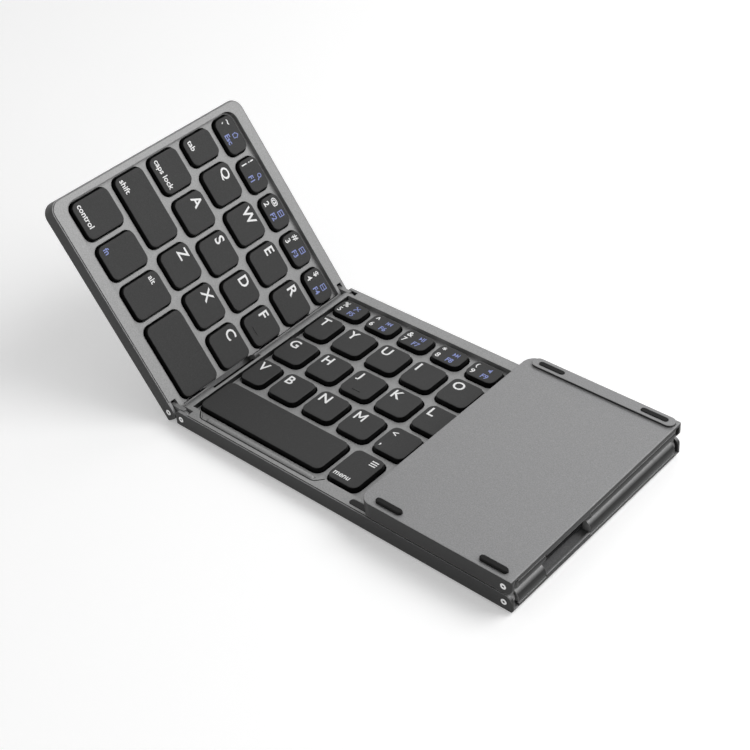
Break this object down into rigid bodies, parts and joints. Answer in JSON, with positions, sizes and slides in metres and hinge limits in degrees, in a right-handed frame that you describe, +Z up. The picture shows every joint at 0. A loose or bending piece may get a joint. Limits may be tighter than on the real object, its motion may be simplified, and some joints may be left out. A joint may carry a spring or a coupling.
{
  "type": "folding keyboard",
  "caption": "Flat keyboard in panels that fold over one another on double-pin hinge links, with square keys in a recessed well and a touch panel on the inside of the narrow panel.",
  "frame": {"origin": "on the floor, under the middle of the whole part as posed at rest: left panel half open, right panel closed on the centre panel", "axes": "+X along the width from the left panel to the right panel, +Y from the space key towards the number row, +Z up"},
  "size_m": [0.2183, 0.0986, 0.0799],
  "materials": {
    "back_cover": "satin painted",
    "frame": "satin metallic paint",
    "key": "matte with a gloss skirt",
    "board": "matte",
    "rubber": "matte",
    "hinge_link": "satin",
    "steel": "brushed",
    "window": "gloss",
    "touch_surface": "satin",
    "battery": "foil"
  },
  "bodies": {
    "centre_panel": {"centre_back_cover": "back_cover", "centre_key_frame": "frame", "centre_key_board": "board", "charging_port": "steel", "indicator_window": "window", "centre_foot_pads": "rubber"},
    "left_panel": {"left_back_cover": "back_cover", "left_key_frame": "frame", "left_key_board": "board", "left_foot_pads": "rubber"},
    "right_panel": {"right_back_cover": "back_cover", "touch_frame": "frame", "touchpad": "touch_surface", "touch_board": "board", "battery": "battery", "right_foot_pads": "rubber"},
    "left_link": {"left_hinge_link": "hinge_link", "left_hinge_pins": "steel", "left_hinge_flex": "rubber"},
    "right_link": {"right_hinge_link": "hinge_link", "right_hinge_pins": "steel", "right_hinge_flex": "rubber"},
    "click_bar": {"click_bar": "touch_surface"},
    "left_number_keys": {"left_number_keys": "key"},
    "tab_key": {"tab_key": "key"},
    "key_q": {"key_q": "key"},
    "key_w": {"key_w": "key"},
    "key_e": {"key_e": "key"},
    "key_r": {"key_r": "key"},
    "caps_key": {"caps_key": "key"},
    "key_a": {"key_a": "key"},
    "key_s": {"key_s": "key"},
    "key_d": {"key_d": "key"},
    "key_f": {"key_f": "key"},
    "shift_key": {"shift_key": "key"},
    "key_z": {"key_z": "key"},
    "key_x": {"key_x": "key"},
    "key_c": {"key_c": "key"},
    "ctrl_key": {"ctrl_key": "key"},
    "fn_key": {"fn_key": "key"},
    "alt_key": {"alt_key": "key"},
    "left_space_key": {"left_space_key": "key"},
    "centre_number_keys": {"centre_number_keys": "key"},
    "key_t": {"key_t": "key"},
    "key_y": {"key_y": "key"},
    "key_u": {"key_u": "key"},
    "key_i": {"key_i": "key"},
    "key_o": {"key_o": "key"},
    "key_g": {"key_g": "key"},
    "key_h": {"key_h": "key"},
    "key_j": {"key_j": "key"},
    "key_k": {"key_k": "key"},
    "key_l": {"key_l": "key"},
    "key_v": {"key_v": "key"},
    "key_b": {"key_b": "key"},
    "key_n": {"key_n": "key"},
    "key_m": {"key_m": "key"},
    "right_space_key": {"right_space_key": "key"},
    "menu_key": {"menu_key": "key"},
    "right_side_keys": {"right_side_keys": "key"}
  },
  "joints": [
    {"name": "left_link_hinge", "type": "hinge", "parent": "centre_panel", "child": "left_link", "pos_m": [-0.0479, 0, 0.00465], "axis": [0, 1, 0], "range_deg": [0, 90]},
    {"name": "left_panel_hinge", "type": "hinge", "parent": "left_link", "child": "left_panel", "pos_m": [-0.055, 0, 0.00465], "axis": [0, 1, 0], "range_deg": [-55, 35]},
    {"name": "right_link_hinge", "type": "hinge", "parent": "centre_panel", "child": "right_link", "pos_m": [0.1057, 0, 0.00465], "axis": [0, 1, 0], "range_deg": [0, 90]},
    {"name": "right_panel_hinge", "type": "hinge", "parent": "right_link", "child": "right_panel", "pos_m": [0.1057, 0, 0.01175], "axis": [0, 1, 0], "range_deg": [0, 90]},
    {"name": "left_number_keys_press", "type": "slide", "parent": "left_panel", "child": "left_number_keys", "axis": [-0.8192, 0, -0.5736], "range_m": [0, 0.0012], "stiffness_N_per_m": 300, "springref_m": -0.0015},
    {"name": "tab_key_press", "type": "slide", "parent": "left_panel", "child": "tab_key", "axis": [-0.8192, 0, -0.5736], "range_m": [0, 0.0012], "stiffness_N_per_m": 150, "springref_m": -0.0015},
    {"name": "key_q_press", "type": "slide", "parent": "left_panel", "child": "key_q", "axis": [-0.8192, 0, -0.5736], "range_m": [0, 0.0012], "stiffness_N_per_m": 150, "springref_m": -0.0015},
    {"name": "key_w_press", "type": "slide", "parent": "left_panel", "child": "key_w", "axis": [-0.8192, 0, -0.5736], "range_m": [0, 0.0012], "stiffness_N_per_m": 150, "springref_m": -0.0015},
    {"name": "key_e_press", "type": "slide", "parent": "left_panel", "child": "key_e", "axis": [-0.8192, 0, -0.5736], "range_m": [0, 0.0012], "stiffness_N_per_m": 150, "springref_m": -0.0015},
    {"name": "key_r_press", "type": "slide", "parent": "left_panel", "child": "key_r", "axis": [-0.8192, 0, -0.5736], "range_m": [0, 0.0012], "stiffness_N_per_m": 150, "springref_m": -0.0015},
    {"name": "caps_key_press", "type": "slide", "parent": "left_panel", "child": "caps_key", "axis": [-0.8192, 0, -0.5736], "range_m": [0, 0.0012], "stiffness_N_per_m": 150, "springref_m": -0.0015},
    {"name": "key_a_press", "type": "slide", "parent": "left_panel", "child": "key_a", "axis": [-0.8192, 0, -0.5736], "range_m": [0, 0.0012], "stiffness_N_per_m": 150, "springref_m": -0.0015},
    {"name": "key_s_press", "type": "slide", "parent": "left_panel", "child": "key_s", "axis": [-0.8192, 0, -0.5736], "range_m": [0, 0.0012], "stiffness_N_per_m": 150, "springref_m": -0.0015},
    {"name": "key_d_press", "type": "slide", "parent": "left_panel", "child": "key_d", "axis": [-0.8192, 0, -0.5736], "range_m": [0, 0.0012], "stiffness_N_per_m": 150, "springref_m": -0.0015},
    {"name": "key_f_press", "type": "slide", "parent": "left_panel", "child": "key_f", "axis": [-0.8192, 0, -0.5736], "range_m": [0, 0.0012], "stiffness_N_per_m": 150, "springref_m": -0.0015},
    {"name": "shift_key_press", "type": "slide", "parent": "left_panel", "child": "shift_key", "axis": [-0.8192, 0, -0.5736], "range_m": [0, 0.0012], "stiffness_N_per_m": 150, "springref_m": -0.0015},
    {"name": "key_z_press", "type": "slide", "parent": "left_panel", "child": "key_z", "axis": [-0.8192, 0, -0.5736], "range_m": [0, 0.0012], "stiffness_N_per_m": 150, "springref_m": -0.0015},
    {"name": "key_x_press", "type": "slide", "parent": "left_panel", "child": "key_x", "axis": [-0.8192, 0, -0.5736], "range_m": [0, 0.0012], "stiffness_N_per_m": 150, "springref_m": -0.0015},
    {"name": "key_c_press", "type": "slide", "parent": "left_panel", "child": "key_c", "axis": [-0.8192, 0, -0.5736], "range_m": [0, 0.0012], "stiffness_N_per_m": 150, "springref_m": -0.0015},
    {"name": "ctrl_key_press", "type": "slide", "parent": "left_panel", "child": "ctrl_key", "axis": [-0.8192, 0, -0.5736], "range_m": [0, 0.0012], "stiffness_N_per_m": 150, "springref_m": -0.0015},
    {"name": "fn_key_press", "type": "slide", "parent": "left_panel", "child": "fn_key", "axis": [-0.8192, 0, -0.5736], "range_m": [0, 0.0012], "stiffness_N_per_m": 150, "springref_m": -0.0015},
    {"name": "alt_key_press", "type": "slide", "parent": "left_panel", "child": "alt_key", "axis": [-0.8192, 0, -0.5736], "range_m": [0, 0.0012], "stiffness_N_per_m": 150, "springref_m": -0.0015},
    {"name": "left_space_key_press", "type": "slide", "parent": "left_panel", "child": "left_space_key", "axis": [-0.8192, 0, -0.5736], "range_m": [0, 0.0012], "stiffness_N_per_m": 200, "springref_m": -0.0015},
    {"name": "centre_number_keys_press", "type": "slide", "parent": "centre_panel", "child": "centre_number_keys", "axis": [0, 0, -1], "range_m": [0, 0.0012], "stiffness_N_per_m": 450, "springref_m": -0.0015},
    {"name": "key_t_press", "type": "slide", "parent": "centre_panel", "child": "key_t", "axis": [0, 0, -1], "range_m": [0, 0.0012], "stiffness_N_per_m": 150, "springref_m": -0.0015},
    {"name": "key_y_press", "type": "slide", "parent": "centre_panel", "child": "key_y", "axis": [0, 0, -1], "range_m": [0, 0.0012], "stiffness_N_per_m": 150, "springref_m": -0.0015},
    {"name": "key_u_press", "type": "slide", "parent": "centre_panel", "child": "key_u", "axis": [0, 0, -1], "range_m": [0, 0.0012], "stiffness_N_per_m": 150, "springref_m": -0.0015},
    {"name": "key_i_press", "type": "slide", "parent": "centre_panel", "child": "key_i", "axis": [0, 0, -1], "range_m": [0, 0.0012], "stiffness_N_per_m": 150, "springref_m": -0.0015},
    {"name": "key_o_press", "type": "slide", "parent": "centre_panel", "child": "key_o", "axis": [0, 0, -1], "range_m": [0, 0.0012], "stiffness_N_per_m": 150, "springref_m": -0.0015},
    {"name": "key_g_press", "type": "slide", "parent": "centre_panel", "child": "key_g", "axis": [0, 0, -1], "range_m": [0, 0.0012], "stiffness_N_per_m": 150, "springref_m": -0.0015},
    {"name": "key_h_press", "type": "slide", "parent": "centre_panel", "child": "key_h", "axis": [0, 0, -1], "range_m": [0, 0.0012], "stiffness_N_per_m": 150, "springref_m": -0.0015},
    {"name": "key_j_press", "type": "slide", "parent": "centre_panel", "child": "key_j", "axis": [0, 0, -1], "range_m": [0, 0.0012], "stiffness_N_per_m": 150, "springref_m": -0.0015},
    {"name": "key_k_press", "type": "slide", "parent": "centre_panel", "child": "key_k", "axis": [0, 0, -1], "range_m": [0, 0.0012], "stiffness_N_per_m": 150, "springref_m": -0.0015},
    {"name": "key_l_press", "type": "slide", "parent": "centre_panel", "child": "key_l", "axis": [0, 0, -1], "range_m": [0, 0.0012], "stiffness_N_per_m": 150, "springref_m": -0.0015},
    {"name": "key_v_press", "type": "slide", "parent": "centre_panel", "child": "key_v", "axis": [0, 0, -1], "range_m": [0, 0.0012], "stiffness_N_per_m": 150, "springref_m": -0.0015},
    {"name": "key_b_press", "type": "slide", "parent": "centre_panel", "child": "key_b", "axis": [0, 0, -1], "range_m": [0, 0.0012], "stiffness_N_per_m": 150, "springref_m": -0.0015},
    {"name": "key_n_press", "type": "slide", "parent": "centre_panel", "child": "key_n", "axis": [0, 0, -1], "range_m": [0, 0.0012], "stiffness_N_per_m": 150, "springref_m": -0.0015},
    {"name": "key_m_press", "type": "slide", "parent": "centre_panel", "child": "key_m", "axis": [0, 0, -1], "range_m": [0, 0.0012], "stiffness_N_per_m": 150, "springref_m": -0.0015},
    {"name": "right_space_key_press", "type": "slide", "parent": "centre_panel", "child": "right_space_key", "axis": [0, 0, -1], "range_m": [0, 0.0012], "stiffness_N_per_m": 250, "springref_m": -0.0015},
    {"name": "menu_key_press", "type": "slide", "parent": "centre_panel", "child": "menu_key", "axis": [0, 0, -1], "range_m": [0, 0.0012], "stiffness_N_per_m": 150, "springref_m": -0.0015},
    {"name": "right_side_keys_press", "type": "slide", "parent": "centre_panel", "child": "right_side_keys", "axis": [0, 0, -1], "range_m": [0, 0.0012], "stiffness_N_per_m": 900, "springref_m": -0.0015},
    {"name": "click_bar_press", "type": "slide", "parent": "right_panel", "child": "click_bar", "axis": [0, 0, 1], "range_m": [0, 0.0004], "stiffness_N_per_m": 300, "springref_m": -0.001}
  ]
}
